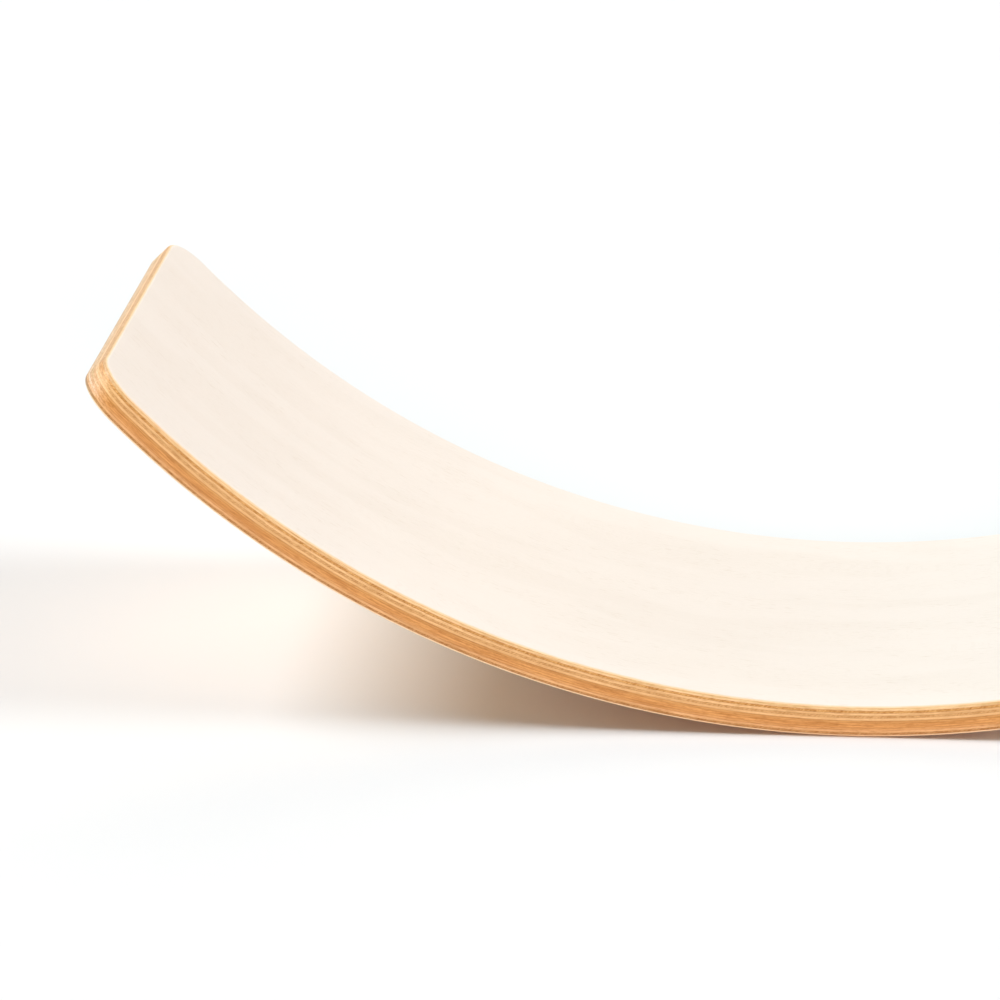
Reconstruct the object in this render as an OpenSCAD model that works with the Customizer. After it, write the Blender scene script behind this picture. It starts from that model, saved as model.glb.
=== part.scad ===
// Curvy balance board: a rocker pressed from a thin face veneer and twelve beech plies, all glued.
// Millimetres. X runs along the board, Y across it and Z up.
// The origin is the middle of the line on which the board rests.

/* [Board] */
// Length of the pressed board, along the middle of its thickness
blank_length = 946; // [700:2:1200]
// Width across the board
board_width = 300; // [200:5:400]
// Radius of the bend, to the underside
bend_radius = 570; // [400:5:1000]
// Radius of the four corners, seen square to the face
corner_radius = 25; // [10:1:60]
// Radius rounded over every edge, above and below
edge_radius = 2.82; // [0.5:0.02:6]

/* [Veneers] */
// Thickness of the thin face veneer
face_thickness = 1.08; // [0.4:0.02:2]
// Thickness of each of the twelve plies under it
ply_thickness = 1.41; // [0.6:0.01:3]

/* [Hidden] */
// Names of the veneers, from the face veneer down through the twelve plies
NODES = [
  "face_veneer", "long_ply_1", "cross_ply_2", "long_ply_3", "cross_ply_4", "long_ply_5", "core_ply_6",
  "core_ply_7", "core_ply_8", "core_ply_9", "long_ply_10", "cross_ply_11", "back_veneer"
];

// Number of the lowest ply; the face veneer is number 0
last_ply = len(NODES) - 1;
// Thickness of the whole stack
board_thickness = face_thickness + last_ply * ply_thickness;
// Lengths closer than this count as equal
slack = 0.001;
// Radius of the top face, on the hollow side of the bend
top_radius = bend_radius - board_thickness;
// Each end runs out straight for as long as its rounded corners
end_run = corner_radius;
// Angle from the middle of the board to the start of a straight end
bend_half_angle = (blank_length / 2 - end_run) / (bend_radius - board_thickness / 2) * 180 / PI;
// The two halves of a veneer share this much of the bend, so that they join as one sheet
shared_angle = bend_half_angle / 8;
// From the middle line to the centre of a rounded corner
corner_out = board_width / 2 - corner_radius;
// Facets of the bend and of the small curves
bend_facets = 256;
round_facets = 64;

// Depth of a veneer's upper face below the top of the board
function ply_top(n) = n == 0 ? 0 : face_thickness + (n - 1) * ply_thickness;

// Depth of a veneer's lower face
function ply_bottom(n) = n == last_ply ? board_thickness : ply_top(n + 1);

// Half of the board's section across an edge, X down through the stack and Y out to the edge
module board_rim(reach) {
  square([board_thickness, reach - edge_radius]);
  translate([edge_radius, 0])
    square([board_thickness - 2 * edge_radius, reach]);
  for (depth = [edge_radius, board_thickness - edge_radius])
    translate([depth, reach - edge_radius])
      circle(edge_radius, $fn = round_facets);
}

// The part of that section which belongs to one veneer
module ply_rim(n, reach) {
  square_edge = ply_top(n) > edge_radius - slack && ply_bottom(n) < board_thickness - edge_radius + slack;
  if (square_edge) {
    ply_strip(n, reach);
  } else {
    intersection() {
      ply_strip(n, reach);
      board_rim(reach);
    }
  }
}

module ply_strip(n, reach) {
  translate([ply_top(n), 0])
    square([ply_bottom(n) - ply_top(n), reach]);
}

// The bent run of one half, turned about Z from the straight end to past the middle
module bent_run(n) {
  rotate_extrude(angle = bend_half_angle + shared_angle, $fn = bend_facets)
    translate([top_radius, 0]) {
      ply_rim(n, board_width / 2);
      mirror([0, 1])
        ply_rim(n, board_width / 2);
    }
}

// The straight end between its two rounded corners
module straight_run(n) {
  linear_extrude(height = 2 * corner_out, center = true)
    translate([top_radius, 0])
      mirror([0, 1])
        ply_rim(n, end_run);
}

// One rounded corner, a quarter turn about the line square to the face
module round_corner(n) {
  translate([top_radius, 0, corner_out])
    rotate([0, 90, 0])
      rotate_extrude(angle = 90, start = 180, $fn = round_facets)
        mirror([1, -1])
          ply_rim(n, corner_radius);
}

// One half of a veneer, with its bend about Z
module half_sheet(n) {
  bent_run(n);
  straight_run(n);
  round_corner(n);
  mirror([0, 0, 1])
    round_corner(n);
}

// A half turned to its place, with the bend about Y and the lowest line at the origin
module left_half(n) {
  translate([0, 0, bend_radius])
    rotate([90, 0, 0])
      rotate([0, 0, -90 - bend_half_angle])
        half_sheet(n);
}

// A whole veneer: two halves that overlap on the same bend
module veneer(n) {
  left_half(n);
  mirror([1, 0, 0])
    left_half(n);
}

// Top veneer, grain along the board, washed white
module face_veneer() {
  color([0.97, 0.93, 0.86])
    veneer(0);
}

// First ply, with its grain along the board as the face veneer has
module long_ply_1() {
  color([0.96, 0.79, 0.58])
    veneer(1);
}

// First cross ply: the long edges show its end grain
module cross_ply_2() {
  color([0.80, 0.58, 0.36])
    veneer(2);
}

module long_ply_3() {
  color([0.95, 0.76, 0.53])
    veneer(3);
}

module cross_ply_4() {
  color([0.82, 0.63, 0.42])
    veneer(4);
}

module long_ply_5() {
  color([0.94, 0.74, 0.51])
    veneer(5);
}

// Four core plies with the grain along the board, which give it its spring
module core_ply_6() {
  color([0.86, 0.60, 0.36])
    veneer(6);
}

module core_ply_7() {
  color([0.88, 0.61, 0.36])
    veneer(7);
}

module core_ply_8() {
  color([0.88, 0.61, 0.37])
    veneer(8);
}

module core_ply_9() {
  color([0.86, 0.60, 0.37])
    veneer(9);
}

module long_ply_10() {
  color([0.92, 0.68, 0.46])
    veneer(10);
}

module cross_ply_11() {
  color([0.77, 0.55, 0.34])
    veneer(11);
}

// Bottom veneer, on which the board rocks
module back_veneer() {
  color([0.90, 0.69, 0.50])
    veneer(12);
}

face_veneer();
long_ply_1();
cross_ply_2();
long_ply_3();
cross_ply_4();
long_ply_5();
core_ply_6();
core_ply_7();
core_ply_8();
core_ply_9();
long_ply_10();
cross_ply_11();
back_veneer();
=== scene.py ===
# %% [markdown]
# # A curvy balance board
# The board is a sheet of beech plywood that was pressed into a curve: a thin face veneer and twelve
# plies, glued and bent together in a mould, then cut out with round corners, rounded over along
# every edge, washed white on top and lacquered. In Blender it could be drawn as one curved slab
# with stripes painted on its edge. Here it is made of the same veneers as in the workshop, only in
# another order: a flat blank is shaped first, sliced into its veneers and bent last, so that each
# veneer is a piece of its own and its grain follows the bend.

from math import pi, radians

import bmesh
import bpy
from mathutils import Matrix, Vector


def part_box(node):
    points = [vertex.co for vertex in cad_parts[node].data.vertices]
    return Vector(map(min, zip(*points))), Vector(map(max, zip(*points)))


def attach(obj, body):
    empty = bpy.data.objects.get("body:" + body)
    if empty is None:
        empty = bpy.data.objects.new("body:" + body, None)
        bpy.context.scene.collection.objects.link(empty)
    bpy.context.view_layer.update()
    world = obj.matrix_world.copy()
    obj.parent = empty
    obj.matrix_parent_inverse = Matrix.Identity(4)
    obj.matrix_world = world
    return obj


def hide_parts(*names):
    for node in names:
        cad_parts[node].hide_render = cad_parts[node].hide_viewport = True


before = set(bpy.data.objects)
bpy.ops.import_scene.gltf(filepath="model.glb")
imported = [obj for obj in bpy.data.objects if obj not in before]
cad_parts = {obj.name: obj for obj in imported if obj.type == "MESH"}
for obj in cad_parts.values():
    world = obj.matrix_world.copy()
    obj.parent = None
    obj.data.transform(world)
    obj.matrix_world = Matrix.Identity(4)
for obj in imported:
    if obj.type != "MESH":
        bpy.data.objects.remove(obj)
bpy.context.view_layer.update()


# %% [markdown]
# ## The camera
# The photograph was taken from a little above the board, from far enough away that the curve is
# hardly foreshortened. A long lens gives that flat look. The place and the two angles below come
# from fitting a pinhole camera to the edges of the board in the photograph.

# %% Camera
camera_place = (-0.0136, -2.6044, 0.8961)
looking_down = 17.237  # degrees
turned_left = 4.210  # degrees
bpy.ops.object.camera_add(
    location=camera_place, rotation=(radians(90 - looking_down), 0, radians(turned_left))
)
camera = bpy.context.object
camera.name = "photo_camera"
camera.data.sensor_width = 36
camera.data.lens = 170.03
bpy.context.scene.camera = camera
print("camera", camera_place, "lens", round(camera.data.lens, 2), "mm")

# %% [markdown]
# ## Sizes
# Blender works in metres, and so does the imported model. The sizes are the ones the part was drawn
# with: a thin face veneer on twelve plies. The bend starts 25 mm in from each end, so the ends with
# their round corners stay flat, which is how they come out of a press.

# %% Sizes in metres
MM = 0.001
blank_length = 946 * MM
board_width = 300 * MM
corner_radius = 25 * MM
edge_radius = 2.82 * MM
face_thickness = 1.08 * MM
ply_thickness = 1.41 * MM
outer_bend_radius = 570 * MM
veneers = [
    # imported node, the piece made here, the record's finish
    ("face_veneer", "washed_face_veneer", "whitewashed_beech"),
    ("long_ply_1", "long_veneer_1", "pale_beech"),
    ("cross_ply_2", "cross_veneer_2", "cross_grain_beech"),
    ("long_ply_3", "long_veneer_3", "pale_beech"),
    ("cross_ply_4", "cross_veneer_4", "cross_grain_beech"),
    ("long_ply_5", "long_veneer_5", "pale_beech"),
    ("core_ply_6", "core_veneer_6", "core_beech"),
    ("core_ply_7", "core_veneer_7", "core_beech"),
    ("core_ply_8", "core_veneer_8", "core_beech"),
    ("core_ply_9", "core_veneer_9", "core_beech"),
    ("long_ply_10", "long_veneer_10", "pale_beech"),
    ("cross_ply_11", "cross_veneer_11", "cross_grain_beech"),
    ("back_veneer", "rocking_back_veneer", "back_beech"),
]
depths = [0] + [face_thickness + number * ply_thickness for number in range(len(veneers))]
board_thickness = depths[-1]
half_thickness = board_thickness / 2
bend_radius = outer_bend_radius - half_thickness  # to the middle of the thickness
bend_end = blank_length / 2 - corner_radius
print("board", blank_length, "x", board_width, "x", round(board_thickness, 5), "m")
print("bent to a radius of", round(bend_radius, 4), "m")

# %% [markdown]
# ## The flat blank
# Before the bend the board is a plain rectangle with round corners. A cube scaled to the blank is
# the start. In this flat state the thickness runs along Y, because the bend that comes later turns
# things about Z. The four short edges become the round corners, and then the two rims are rounded
# over, as with a router: both are bevels with many segments.

# %% Helpers for picking edges
def start_fresh():
    """Leave edit mode and deselect everything, so that the next operator acts on one piece only."""
    if bpy.context.object and bpy.context.object.mode != "OBJECT":
        bpy.ops.object.mode_set(mode="OBJECT")
    bpy.ops.object.select_all(action="DESELECT")


def pick_edges(is_wanted):
    """In edit mode, select the edges whose two ends are where is_wanted says, and count them."""
    bpy.ops.mesh.select_mode(type="EDGE")
    bpy.ops.mesh.select_all(action="DESELECT")
    mesh = bpy.context.edit_object.data
    shape = bmesh.from_edit_mesh(mesh)
    picked = [edge for edge in shape.edges if is_wanted(*(end.co for end in edge.verts))]
    for edge in picked:
        edge.select_set(True)
    bmesh.update_edit_mesh(mesh)
    return len(picked)


# %% Cut out the blank and round it
corner_segments = 24
rim_segments = 12
slack = 1e-6  # metres; places closer than this count as equal
start_fresh()
bpy.ops.mesh.primitive_cube_add(size=1)
blank = bpy.context.object
blank.name = "flat_blank"
blank.scale = (blank_length, board_thickness, board_width)
bpy.ops.object.transform_apply(location=False, rotation=False, scale=True)
bpy.ops.object.mode_set(mode="EDIT")
corners = pick_edges(lambda a, b: abs(a.y - b.y) > half_thickness)
bpy.ops.mesh.bevel(offset=corner_radius, segments=corner_segments, affect="EDGES")
rims = pick_edges(
    lambda a, b: a.y * b.y > 0 and min(abs(a.y), abs(b.y)) > half_thickness - slack
)
bpy.ops.mesh.bevel(offset=edge_radius, segments=rim_segments, affect="EDGES")
bpy.ops.object.mode_set(mode="OBJECT")
print("blank:", corners, "corners,", rims, "rim edges,", len(blank.data.polygons), "faces")

# %% [markdown]
# ## Slicing the veneers
# On the real board the veneers are glued first and shaped afterwards, so each one carries its own
# strip of the rounded edge. Cutting copies of the blank with two planes gives the same result:
# bisect throws away what is outside the planes and fills the cut. The long edges are then
# subdivided, because a bend needs points to bend at. 95 cuts leave strips of under 10 mm, whose
# error on this radius is two hundredths of a millimetre.

# %% Slice one veneer
bend_cuts = 95


def cut_flat(place, direction, **drop):
    """In edit mode, cut the whole shape with a plane; drop says which side goes."""
    bpy.ops.mesh.select_all(action="SELECT")
    bpy.ops.mesh.bisect(
        plane_co=place, plane_no=direction, use_fill=bool(drop), threshold=slack, **drop
    )


def slice_veneer(name, top, bottom):
    """A copy of the blank, kept between two depths below its top and divided along its length."""
    start_fresh()
    blank.select_set(True)
    bpy.context.view_layer.objects.active = blank
    bpy.ops.object.duplicate()
    sheet = bpy.context.object
    sheet.name = sheet.data.name = name
    bpy.ops.object.mode_set(mode="EDIT")
    if top > 0:
        cut_flat((0, half_thickness - top, 0), (0, 1, 0), clear_outer=True)
    if bottom < board_thickness - slack:
        cut_flat((0, half_thickness - bottom, 0), (0, 1, 0), clear_inner=True)
    for side in (-1, 1):
        cut_flat((side * bend_end, 0, 0), (1, 0, 0))
    pick_edges(lambda a, b: abs(a.x - b.x) > bend_end)
    bpy.ops.mesh.subdivide(number_cuts=bend_cuts)
    bpy.ops.object.mode_set(mode="OBJECT")
    return sheet


# %% Slice all of them
sheets = []
for (_, name, _), top, bottom in zip(veneers, depths, depths[1:]):
    sheets.append(slice_veneer(name, top, bottom))
    print(name, len(sheets[-1].data.polygons), "faces")
bpy.data.objects.remove(blank)

# %% [markdown]
# ## Remembering the flat sheet
# Wood grain runs straight along the flat veneer and is bent with it. A pattern on the finished
# shape's coordinates would run straight through the curve instead. So each point keeps its flat
# place in an attribute of its mesh: how far along, how far across and how deep below the top face.
# Materials read it later.

# %% Write the flat place on every point
def remember_flat_place(sheet):
    """Keep each point's place along, across and below the top face, in metres."""
    flat = sheet.data.attributes.new("flat_place", "FLOAT_VECTOR", "POINT")
    for point, kept in zip(sheet.data.vertices, flat.data):
        kept.vector = (point.co.x, -point.co.z, half_thickness - point.co.y)


for sheet in sheets:
    remember_flat_place(sheet)
print("flat places written on", sum(len(sheet.data.vertices) for sheet in sheets), "points")

# %% [markdown]
# ## Pressing the bend
# The Simple Deform modifier bends a shape about its Z axis. Its limits are shares of the piece's own
# length, and keep the two ends straight. The angle is the length of the bent run over its radius.
# Then the sheet is laid down with its hollow side up, standing on the floor, and its place is
# applied to the mesh. Smooth shading stops at the sharp edges, and weighted normals keep the broad
# faces from looking puffed up beside the narrow rim.

# %% Bend, lay down and smooth one veneer
sharp_from = radians(30)


def bend_sheet(sheet):
    """Bend the active sheet between its two straight ends."""
    places = [point.co.x for point in sheet.data.vertices]
    low, length = min(places), max(places) - min(places)
    bpy.ops.object.modifier_add(type="SIMPLE_DEFORM")
    bend = sheet.modifiers[-1]
    bend.deform_method = "BEND"
    bend.deform_axis = "Z"
    bend.angle = 2 * bend_end / bend_radius
    bend.limits = ((-bend_end - low) / length, (bend_end - low) / length)
    bpy.ops.object.modifier_apply(modifier=bend.name)


def press(sheet):
    """Bend a flat sheet, lay it on the floor with its hollow up and smooth it."""
    start_fresh()
    sheet.select_set(True)
    bpy.context.view_layer.objects.active = sheet
    bend_sheet(sheet)
    sheet.rotation_euler.x = pi / 2
    sheet.location.z = half_thickness
    bpy.ops.object.transform_apply(location=True, rotation=True, scale=True)
    bpy.ops.object.mode_set(mode="EDIT")
    bpy.ops.mesh.select_all(action="SELECT")
    bpy.ops.mesh.normals_make_consistent(inside=False)
    bpy.ops.object.mode_set(mode="OBJECT")
    bpy.ops.object.shade_smooth_by_angle(angle=sharp_from)
    bpy.ops.object.modifier_add(type="WEIGHTED_NORMAL")
    sheet.modifiers[-1].keep_sharp = True
    bpy.ops.object.modifier_apply(modifier=sheet.modifiers[-1].name)


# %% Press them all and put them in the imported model's place
for sheet, (node, name, finish) in zip(sheets, veneers):
    press(sheet)
    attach(sheet, "root")
    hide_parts(node)
    top_of_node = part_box(node)[1].z
    above = max(point.co.z for point in sheet.data.vertices) - top_of_node
    print(name, "is", round(above, 5), "m above its node's top")

# %% [markdown]
# ## Helpers for materials
# A material is a small network of nodes. These helpers add one node each and hand back its output,
# so that a network reads like a sum.

# %% Values and vectors
def wire(tree, node, sockets):
    """Fill a node's inputs: an output is linked, a plain value is set."""
    for name, value in sockets.items():
        if isinstance(value, bpy.types.NodeSocket):
            tree.links.new(value, node.inputs[name])
        else:
            node.inputs[name].default_value = value


def maths(tree, operation, first, second):
    """One sum of two values."""
    node = tree.nodes.new("ShaderNodeMath")
    node.operation = operation
    wire(tree, node, {0: first, 1: second})
    return node.outputs[0]


def vectors(tree, operation, first, second=(0, 0, 0)):
    """One sum of two vectors; a length needs only the first."""
    node = tree.nodes.new("ShaderNodeVectorMath")
    node.operation = operation
    wire(tree, node, {0: first, 1: second})
    return node.outputs["Value" if operation == "LENGTH" else "Vector"]


def joined(tree, x, y, z):
    """One vector from three values."""
    node = tree.nodes.new("ShaderNodeCombineXYZ")
    wire(tree, node, {"X": x, "Y": y, "Z": z})
    return node.outputs[0]


def taken_apart(tree, vector):
    """The three values of a vector, by the names X, Y and Z."""
    node = tree.nodes.new("ShaderNodeSeparateXYZ")
    wire(tree, node, {0: vector})
    return node.outputs


# %% Patterns and colours
def rise(tree, value, low, high):
    """0 where the value is under low, 1 where it is over high, and smooth between."""
    node = tree.nodes.new("ShaderNodeMapRange")
    node.interpolation_type = "SMOOTHSTEP"
    wire(tree, node, {"Value": value, "From Min": low, "From Max": high})
    return node.outputs[0]


def noise(tree, place, size, detail):
    """Noise whose grains have this size, in the units of the place."""
    node = tree.nodes.new("ShaderNodeTexNoise")
    scaled = vectors(tree, "DIVIDE", place, size)
    wire(tree, node, {"Vector": scaled, "Scale": 1.0, "Detail": detail, "Roughness": 0.55})
    return node.outputs[0]


def mixed(tree, share, first, second):
    """The first colour, with a share of the second over it."""
    node = tree.nodes.new("ShaderNodeMix")
    node.data_type = "RGBA"
    wire(tree, node, {0: share, 6: first, 7: second})
    return node.outputs[2]


def stained(tree, share, colour, stain):
    """The colour with a share of a stain multiplied on it."""
    node = tree.nodes.new("ShaderNodeMix")
    node.data_type = "RGBA"
    node.blend_type = "MULTIPLY"
    wire(tree, node, {0: share, 6: colour, 7: (*stain, 1)})
    return node.outputs[2]


# %% Groups of nodes
def new_group(name, inputs, outputs):
    """An empty node group with named sockets, and its two ends."""
    group = bpy.data.node_groups.new(name, "ShaderNodeTree")
    for label, kind in inputs:
        group.interface.new_socket(label, in_out="INPUT", socket_type="NodeSocket" + kind)
    for label, kind in outputs:
        group.interface.new_socket(label, in_out="OUTPUT", socket_type="NodeSocket" + kind)
    return group, group.nodes.new("NodeGroupInput").outputs, group.nodes.new("NodeGroupOutput")


def use_group(tree, group, sockets):
    """Place a group in a material or in another group, with these values."""
    node = tree.nodes.new("ShaderNodeGroup")
    node.node_tree = group
    wire(tree, node, sockets)
    return node.outputs


# %% [markdown]
# ## End grain
# Where fibres run out of the surface, wood drinks up the lacquer and turns darker. On the long edges
# that happens to the plies whose fibres run across, and at the two ends to all the others, so the
# stripes swap their tones round each corner. At the two ends the tones of veneers 4 to 9 are paler
# instead, partly as painted sheen of the lamps on the end faces, and veneer 11 and the back veneer
# show painted shade of the lower rounded edge there. The group finds out how squarely the rim cuts
# the fibres: it measures how far a flat place is beyond the straight runs of the outline, as the
# outline of a rounded rectangle is measured. Its lengths are in millimetres, as in all the groups.

# %% Group: how much end grain shows
end_grain, given, made = new_group(
    "end_grain", [("Fibre Place", "Vector"), ("Straight Half", "Vector")], [("End Grain", "Float")]
)
flat_reach = (corner_radius - edge_radius) / MM
least_reach = 0.001  # so that nothing is divided by zero
flat = vectors(end_grain, "MULTIPLY", given["Fibre Place"], (1, 1, 0))
flat = vectors(end_grain, "ABSOLUTE", flat)
beyond = vectors(end_grain, "SUBTRACT", flat, given["Straight Half"])
beyond = vectors(end_grain, "MAXIMUM", beyond, (0, 0, 0))
reach = vectors(end_grain, "LENGTH", beyond)
along = taken_apart(end_grain, beyond)["X"]
squareness = maths(end_grain, "DIVIDE", along, maths(end_grain, "MAXIMUM", reach, least_reach))
tilt = maths(end_grain, "SUBTRACT", reach, flat_reach)
tilt = maths(end_grain, "DIVIDE", tilt, edge_radius / MM)
tilt = maths(end_grain, "MINIMUM", maths(end_grain, "MAXIMUM", tilt, 0.0), 1.0)
facing = maths(end_grain, "MULTIPLY", squareness, tilt)
wire(end_grain, made, {"End Grain": maths(end_grain, "MULTIPLY", facing, facing)})
print("end_grain has", len(end_grain.nodes), "nodes")

# %% [markdown]
# ## Beech figure
# Beech is a quiet wood: soft bands, fine streaks along the fibres, tiny dark vessels and the short
# flecks of its rays. Each is the same kind of noise, stretched along the fibres by a different
# amount. Because the noise fills space, one recipe shows as streaks where the fibres lie in the
# surface and as dots where they run out of it. A slow wander keeps the fibres from running dead
# straight. Peeling a veneer off the log also leaves slanting hairline cracks, the checks, which a
# maker sees in the end grain of every ply.

# %% Group: fibres that wander
figure, given, made = new_group(
    "beech_figure",
    [
        ("Fibre Place", "Vector"), ("Fibre Length", "Float"), ("Band Width", "Float"),
        ("Log", "Float"),
    ],
    [("Bands", "Float"), ("Streaks", "Float"), ("Flecks", "Float"), ("Checks", "Float")],
)
to_next_log = (41.3, 173.9, 67.7)
wander_size = (150, 60, 45)
wander_in_depth = 1.5
shift = vectors(figure, "MULTIPLY", given["Log"], to_next_log)
place = vectors(figure, "ADD", given["Fibre Place"], shift)
slow = figure.nodes.new("ShaderNodeTexNoise")
scaled = vectors(figure, "DIVIDE", place, wander_size)
wire(figure, slow, {"Vector": scaled, "Scale": 1.0, "Detail": 1.0})
wander = vectors(figure, "SUBTRACT", slow.outputs["Color"], (0.5, 0.5, 0.5))
wander_across = maths(figure, "MULTIPLY", given["Band Width"], 2.0)
wander_by = joined(figure, 0.0, wander_across, wander_in_depth)
place = vectors(figure, "ADD", place, vectors(figure, "MULTIPLY", wander, wander_by))
print("fibres wander over", wander_size, "mm")

# %% Bands, streaks, vessels, rays and checks
band_length = maths(figure, "MULTIPLY", given["Fibre Length"], 3.0)
band_size = joined(figure, band_length, given["Band Width"], 2.0)
streak_size = joined(figure, given["Fibre Length"], 0.8, 0.5)
vessel_size = (3.2, 0.17, 0.17)
ray_size = (4.5, 0.7, 0.55)
check_size = (40, 0.9, 3)
bands = noise(figure, place, band_size, 3.0)
streaks = noise(figure, place, streak_size, 3.0)
vessels = noise(figure, place, vessel_size, 1.0)
rays = noise(figure, place, ray_size, 1.0)
way = taken_apart(figure, place)
slanting = joined(figure, way["X"], maths(figure, "ADD", way["Y"], way["Z"]), way["Z"])
checks = noise(figure, slanting, check_size, 2.0)
print("vessels", vessel_size, "mm, rays", ray_size, "mm")

# %% How much of each shows
flecks = maths(
    figure, "MAXIMUM", rise(figure, vessels, 0.56, 0.68), rise(figure, rays, 0.52, 0.70)
)
wire(figure, made, {
    "Bands": rise(figure, bands, 0.34, 0.66),
    "Streaks": rise(figure, streaks, 0.36, 0.64),
    "Flecks": flecks,
    "Checks": rise(figure, checks, 0.44, 0.68),
})
print("beech_figure has", len(figure.nodes), "nodes")

# %% [markdown]
# ## One veneer's wood
# Every veneer is cut from another log, so each gets its own tones, but they all share one recipe.
# The two colours of a veneer are its wood along the fibres and its end grain. The figure darkens
# them and makes them redder, as stain does, so it is multiplied on. A thin brown glue line closes
# each veneer above and below. The group also gives a height for the bump and a roughness, because
# open vessels and end grain are duller than the lacquered wood between them.

# %% Group: the parts of one veneer's wood
veneer_wood, given, made = new_group(
    "veneer_wood",
    [
        ("Fibre Place", "Vector"), ("Straight Half", "Vector"), ("Fibre Length", "Float"),
        ("Band Width", "Float"), ("Log", "Float"), ("Long Grain", "Color"),
        ("End Grain", "Color"), ("Contrast", "Float"), ("Top", "Float"), ("Bottom", "Float"),
    ],
    [
        ("Colour", "Color"), ("Bands", "Float"), ("Flecks", "Float"), ("Roughness", "Float"),
        ("Height", "Float"),
    ],
)
rim_sockets = ("Fibre Place", "Straight Half")
rim = use_group(veneer_wood, end_grain, {name: given[name] for name in rim_sockets})
end_share = rim["End Grain"]
figure_sockets = ("Fibre Place", "Fibre Length", "Band Width", "Log")
marks = use_group(veneer_wood, figure, {name: given[name] for name in figure_sockets})
print("veneer_wood has", len(veneer_wood.interface.items_tree), "sockets")

# %% Its colour
figure_stain = (0.62, 0.48, 0.26)
tone = maths(
    veneer_wood, "ADD",
    maths(veneer_wood, "MULTIPLY", marks["Bands"], 0.5),
    maths(veneer_wood, "MULTIPLY", marks["Streaks"], 0.5),
)
fine = maths(
    veneer_wood, "MAXIMUM",
    maths(veneer_wood, "MULTIPLY", marks["Flecks"], 0.6),
    maths(veneer_wood, "MULTIPLY", marks["Checks"], end_share),
)
wood = mixed(veneer_wood, end_share, given["Long Grain"], given["End Grain"])
for darkening in (tone, fine):
    share = maths(veneer_wood, "MULTIPLY", darkening, given["Contrast"])
    wood = stained(veneer_wood, share, wood, figure_stain)
print("the figure's stain is", figure_stain)

# %% Its glue lines
glue_stain = (0.55, 0.40, 0.25)
glue_strength = 0.5
all_glue, no_glue = 0.02, 0.16  # mm from the joint
depth = taken_apart(veneer_wood, given["Fibre Place"])["Z"]
to_joint = maths(
    veneer_wood, "MINIMUM",
    maths(veneer_wood, "SUBTRACT", depth, given["Top"]),
    maths(veneer_wood, "SUBTRACT", given["Bottom"], depth),
)
glue = maths(veneer_wood, "SUBTRACT", 1.0, rise(veneer_wood, to_joint, all_glue, no_glue))
share = maths(veneer_wood, "MULTIPLY", glue, glue_strength)
wood = stained(veneer_wood, share, wood, glue_stain)
print("glue reaches", no_glue, "mm into a veneer")

# %% Its roughness and height
lacquer_roughness = 0.36
dull = maths(
    veneer_wood, "ADD",
    maths(veneer_wood, "MULTIPLY", fine, 0.2),
    maths(veneer_wood, "MULTIPLY", end_share, 0.1),
)
low = maths(veneer_wood, "ADD", maths(veneer_wood, "MULTIPLY", tone, 0.4), glue)
low = maths(veneer_wood, "ADD", fine, low)
wire(veneer_wood, made, {
    "Colour": wood,
    "Bands": marks["Bands"],
    "Flecks": marks["Flecks"],
    "Roughness": maths(veneer_wood, "ADD", dull, lacquer_roughness),
    "Height": maths(veneer_wood, "SUBTRACT", 1.0, low),
})
print("veneer_wood has", len(veneer_wood.nodes), "nodes")

# %% [markdown]
# ## The thirteen veneers' finishes
# The material reads the flat place, turns it so that X runs along the fibres, and hands it to the
# group. The tones were tried out until the edge looked as it does in the photograph: pale long-grain
# plies, darker cross plies with their checked end grain, and an orange core. The pale tones that
# veneers 4 to 9 show at the two ends are partly painted sheen of the end faces. The dark long grain
# of veneer 11 and the dark end grain of the back veneer, seen at the ends, are painted shade of the
# lower rounded edge.

# %% Tones of each veneer
tones = {
    # fibres, wood along the fibres, end grain, contrast of the figure
    "washed_face_veneer": ("along", (0.9, 0.68, 0.44), (0.74, 0.46, 0.24), 0.35),
    "long_veneer_1": ("along", (0.748, 0.616, 0.339), (0.778, 0.482, 0.272), 0.70),
    "cross_veneer_2": ("across", (0.886, 0.523, 0.26), (0.731, 0.509, 0.192), 0.95),
    "long_veneer_3": ("along", (0.817, 0.638, 0.333), (0.764, 0.429, 0.208), 0.70),
    # 4 to 9: the tone shown at the two ends (long grain for 4, end grain for 5 to 9) is partly
    #         painted sheen
    "cross_veneer_4": ("across", (0.97, 0.676, 0.402), (0.696, 0.494, 0.219), 0.70),
    "long_veneer_5": ("along", (0.784, 0.586, 0.284), (0.937, 0.652, 0.413), 0.55),
    "core_veneer_6": ("along", (0.633, 0.387, 0.123), (0.871, 0.573, 0.356), 0.80),
    "core_veneer_7": ("along", (0.708, 0.422, 0.133), (0.97, 0.791, 0.594), 0.95),
    "core_veneer_8": ("along", (0.719, 0.428, 0.138), (0.872, 0.617, 0.444), 0.85),
    "core_veneer_9": ("along", (0.687, 0.414, 0.149), (0.97, 0.791, 0.65), 0.80),
    "long_veneer_10": ("along", (0.765, 0.529, 0.255), (0.838, 0.558, 0.356), 0.75),
    # 11: its dark long grain and the back veneer's dark end grain, seen at the ends, are painted
    #     shade
    "cross_veneer_11": ("across", (0.468, 0.307, 0.187), (0.624, 0.401, 0.165), 1.0),
    # the back veneer's pale long grain is left bare on the rim, where it is partly a painted
    # highlight
    "rocking_back_veneer": ("along", (0.97, 0.82, 0.56), (0.55, 0.36, 0.22), 0.35),
}
print("tones for", len(tones), "veneers")

# %% Build one veneer's material
broad_figure = {"Fibre Length": 90, "Band Width": 40}  # mm, on the two outer faces
narrow_figure = {"Fibre Length": 14, "Band Width": 4.5}  # mm, where only the edge is seen
far_above, far_below = -9, 99  # mm; a face without glue has its joint out of reach
pore_depth = 0.06 * MM


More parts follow.
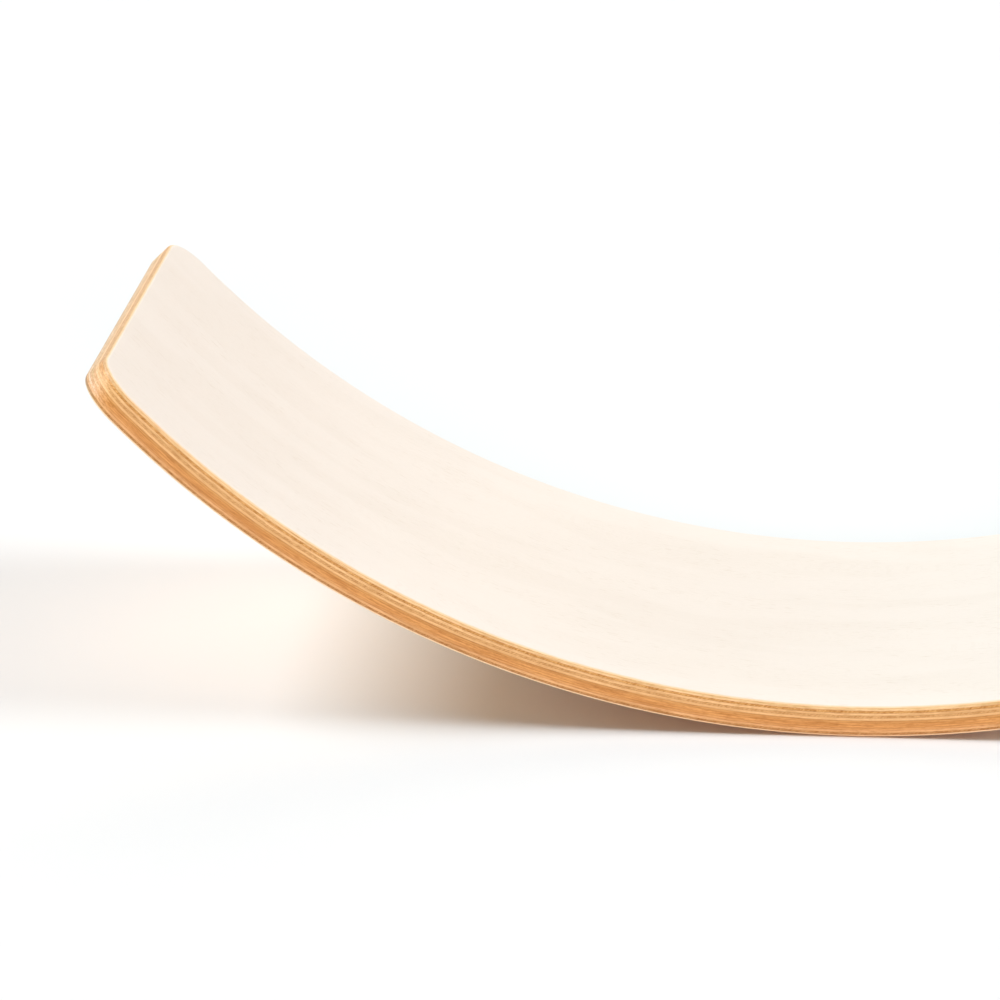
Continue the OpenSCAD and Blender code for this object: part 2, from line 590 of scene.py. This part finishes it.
def veneer_material(number, name):
    """A veneer's material, and its place and wood for a finish that is put over them."""
    fibres, long_grain_and_painted_light, end_tone_and_painted_light, contrast = tones[name]
    is_top, is_bottom = number == 0, number == len(veneers) - 1
    material = bpy.data.materials.new(name + "_beech")
    material.use_nodes = True
    tree = material.node_tree
    flat = tree.nodes.new("ShaderNodeAttribute")
    flat.attribute_name = "flat_place"
    turn = tree.nodes.new("ShaderNodeMapping")
    wire(tree, turn, {"Vector": flat.outputs["Vector"], "Scale": (1 / MM,) * 3})
    straight = [bend_end / MM, (board_width / 2 - corner_radius) / MM, 0]
    if fibres == "across":
        turn.inputs["Rotation"].default_value = (0, 0, pi / 2)
        straight = [straight[1], straight[0], 0]
    wood = use_group(tree, veneer_wood, {
        **(broad_figure if is_top or is_bottom else narrow_figure),
        "Fibre Place": turn.outputs[0], "Straight Half": straight, "Log": number + 1.0,
        "Long Grain": (*long_grain_and_painted_light, 1), "End Grain": (*end_tone_and_painted_light, 1), "Contrast": contrast,
        "Top": far_above if is_top else depths[number] / MM,
        "Bottom": far_below if is_bottom else depths[number + 1] / MM,
    })
    bump = tree.nodes.new("ShaderNodeBump")
    wire(tree, bump, {"Height": wood["Height"], "Distance": pore_depth, "Strength": 0.5})
    wire(tree, tree.nodes["Principled BSDF"], {
        "Base Color": wood["Colour"], "Roughness": wood["Roughness"], "Normal": bump.outputs[0],
        "Specular IOR Level": 0.4,
    })
    return material, turn.outputs[0], wood


# %% Put the materials on
made_of = {}
for number, (sheet, (_, name, _)) in enumerate(zip(sheets, veneers)):
    material, place, wood = veneer_material(number, name)
    sheet.data.materials.clear()
    sheet.data.materials.append(material)
    made_of[name] = material.node_tree, place, wood
print(len(made_of), "veneer materials")

# %% [markdown]
# ## The white wash
# The top face is wiped with thinned white paint before the lacquer. The wash lies over the face and
# just over the turn of the rounded edge, where the sanding block has thinned it out. It hides the
# wood almost wholly: only a few soft bands and short dashes along the fibres show through, and more
# of them where the cloth left the paint thin. Each kind of mark gets a small share, and the shares
# are added up.

# %% How far the wash reaches
tree, place, wood = made_of["washed_face_veneer"]
wash_reach = 0.7  # mm down the rounded edge
uneven = noise(tree, place, (9, 3, 3), 3.0)
depth = taken_apart(tree, place)["Z"]
edge = maths(tree, "MULTIPLY", depth, maths(tree, "ADD", uneven, 0.5))
cover = maths(tree, "SUBTRACT", 1.0, rise(tree, edge, 0.0, wash_reach))
print("wash from the face to", wash_reach, "mm down the edge")

# %% What shows through it
cloud_size = (60, 28, 28)  # mm
dash_size = (9, 1.7, 1.7)  # mm
clouds = noise(tree, place, cloud_size, 2.0)
dashes = rise(tree, noise(tree, place, dash_size, 2.0), 0.57, 0.70)
dashes = maths(tree, "MULTIPLY", dashes, rise(tree, clouds, 0.40, 0.62))
shares = [
    (rise(tree, wood["Bands"], 0.3, 1.0), 0.05),
    (wood["Flecks"], 0.05),
    (dashes, 0.20),
    (clouds, 0.10),
]
marks = 0.0
for mark, share in shares:
    marks = maths(tree, "ADD", marks, maths(tree, "MULTIPLY", mark, share))
print("at most", round(sum(share for _, share in shares), 2), "of the wood shows through")

# %% Wash the face veneer
wash_colour = (0.822, 0.771, 0.724)
shown_through = (0.55, 0.46, 0.36)
chalkiness = 0.3  # added to the wood's roughness
wash = mixed(tree, marks, (*wash_colour, 1), (*shown_through, 1))
chalk = maths(tree, "MULTIPLY", cover, chalkiness)
wire(tree, tree.nodes["Principled BSDF"], {
    "Base Color": mixed(tree, cover, wood["Colour"], wash),
    "Roughness": maths(tree, "ADD", wood["Roughness"], chalk),
    "Specular IOR Level": 0.15,
})
print("washed with", wash_colour)

# %% [markdown]
# ## The rocking side
# The underside is left unwashed. The photograph does not show it, but the floor under it is a soft
# brown from the light that it throws back, so it is taken to be plain oiled beech. A pale line runs
# along its rim: partly the veneer's own pale wood and partly a painted highlight, where the rounded
# edge catches the light from the floor. So the oil is a stain that is multiplied on the flat of the
# underside only and stops just short of the rim, where the pale tone with its painted highlight
# shows.

# %% Oil the underside
tree, place, wood = made_of["rocking_back_veneer"]
oil_stain = (0.86, 0.71, 0.57)
# above this height the rim keeps the pale tone, partly a painted highlight
rim_highlight_from, all_oil = 0.2, 0.05  # mm above the underside
underside = board_thickness / MM
depth = taken_apart(tree, place)["Z"]
oil = rise(tree, depth, underside - rim_highlight_from, underside - all_oil)
wire(tree, tree.nodes["Principled BSDF"], {
    "Base Color": stained(tree, oil, wood["Colour"], oil_stain),
})
print("oil on the underside, none from", rim_highlight_from, "mm up the rim")

# %% [markdown]
# ## The studio
# The photograph is bright and almost without shadows: the board stands on white paper between two
# big windows. A warm lamp low at the camera's side shines in under the curve, where the shadow is
# brown instead of black, and another one behind keeps the paper there white. The paper is drawn
# one-sided, so that a camera under the floor sees the underside too.

# %% White paper floor
floor_size = 60
paper_colour = (0.790, 0.791, 0.806)
start_fresh()
bpy.ops.mesh.primitive_plane_add(size=floor_size)
floor = bpy.context.object
floor.name = "studio_floor"
paper = bpy.data.materials.new("white_paper")
paper.use_nodes = True
floor.data.materials.append(paper)
tree = paper.node_tree
matt = tree.nodes["Principled BSDF"]
wire(tree, matt, {
    "Base Color": (*paper_colour, 1), "Roughness": 0.95, "Specular IOR Level": 0.1,
})
print("paper floor", floor_size, "m wide")

# %% One-sided paper that lets lamps through
see_through = tree.nodes.new("ShaderNodeBsdfTransparent")
one_sided = tree.nodes.new("ShaderNodeMixShader")
back = tree.nodes.new("ShaderNodeNewGeometry").outputs["Backfacing"]
to_lamp = tree.nodes.new("ShaderNodeLightPath").outputs["Is Shadow Ray"]
wire(tree, one_sided, {
    0: maths(tree, "MAXIMUM", back, to_lamp), 1: matt.outputs[0], 2: see_through.outputs[0],
})
wire(tree, tree.nodes["Material Output"], {"Surface": one_sided.outputs[0]})
print(paper.name, "has", len(tree.nodes), "nodes")

# %% [markdown]
# ## Windows and lamps
# A window or a lamp that is far away is a sun lamp with a wide angle in Blender. It lights the whole
# floor evenly, also where another camera looks. Its angle decides how soft the shadows are, and its
# strength and colour were found by trying until the shadows had the photograph's tones.

# %% Windows and lamps
far_lamps = [
    # name, from which side (0 is the camera's, 90 the right), how high, how wide, strength, colour
    ("left_window", -90, 51, 26, 2.85, (0.84, 0.90, 0.95)),
    ("left_window_low", -90, 35, 40, 0.95, (0.84, 1.0, 0.92)),
    ("right_window", 90, 25, 26, 1.80, (0.92, 0.96, 0.90)),
    ("right_window_low", 90, 12, 20, 0.70, (0.75, 0.85, 1.0)),
    ("front_lamp", 10, 10, 18, 2.15, (1.0, 0.57, 0.45)),
    ("back_lamp", 180, 25, 40, 0.90, (1.0, 0.82, 0.64)),
]
for name, side, height, width, strength, colour in far_lamps:
    start_fresh()
    bpy.ops.object.light_add(type="SUN", rotation=(radians(90 - height), 0, radians(side)))
    lamp = bpy.context.object
    lamp.name = name
    lamp.data.angle = radians(width)
    lamp.data.energy = strength
    lamp.data.color = colour
    print(name, strength)

# %% [markdown]
# ## Light from below
# Where the board touches the floor, next to no light gets in, and its underside would be black there
# for a camera under the floor. The paper therefore lets lamps shine through it, and a weak one lies
# under it, as under the glass of a photographer's table. It is too weak to lighten the shadow that
# the photograph shows.

# %% A lamp under the paper
below_floor = -0.10
start_fresh()
bpy.ops.object.light_add(type="AREA", location=(0, 0, below_floor), rotation=(pi, 0, 0))
lamp = bpy.context.object
lamp.name = "lamp_under_paper"
lamp.data.shape = "RECTANGLE"
lamp.data.size, lamp.data.size_y = 0.26, 0.20
lamp.data.spread = radians(110)
lamp.data.energy = 0.026
lamp.visible_glossy = False
print(lamp.name, round(lamp.data.energy, 3), "W")

# %% [markdown]
# ## The room
# The walls are white in the picture and half as bright in the lacquer's reflections. What they add
# to the light is weak and warm, because wood stands all round. The Standard view shows colours as
# they are, without a film's curve.

# %% The room, and plain colours in the picture
share_in_lacquer = 0.5
room = bpy.data.worlds.new("white_room")
room.use_nodes = True
tree = room.node_tree
light = tree.nodes["Background"]
wire(tree, light, {"Color": (1, 0.9, 0.7, 1), "Strength": 0.05})
seen = tree.nodes.new("ShaderNodeBackground")
wire(tree, seen, {"Color": (1, 0.995, 0.985, 1), "Strength": 1.0})
ray = tree.nodes.new("ShaderNodeLightPath").outputs
in_lacquer = maths(tree, "MULTIPLY", ray["Is Glossy Ray"], share_in_lacquer)
in_sight = maths(tree, "MAXIMUM", ray["Is Camera Ray"], in_lacquer)
either = tree.nodes.new("ShaderNodeMixShader")
wire(tree, either, {0: in_sight, 1: light.outputs[0], 2: seen.outputs[0]})
wire(tree, tree.nodes["World Output"], {"Surface": either.outputs[0]})
bpy.context.scene.world = room
bpy.context.scene.view_settings.view_transform = "Standard"
print(room.name, "lights with", round(light.inputs["Strength"].default_value, 3))
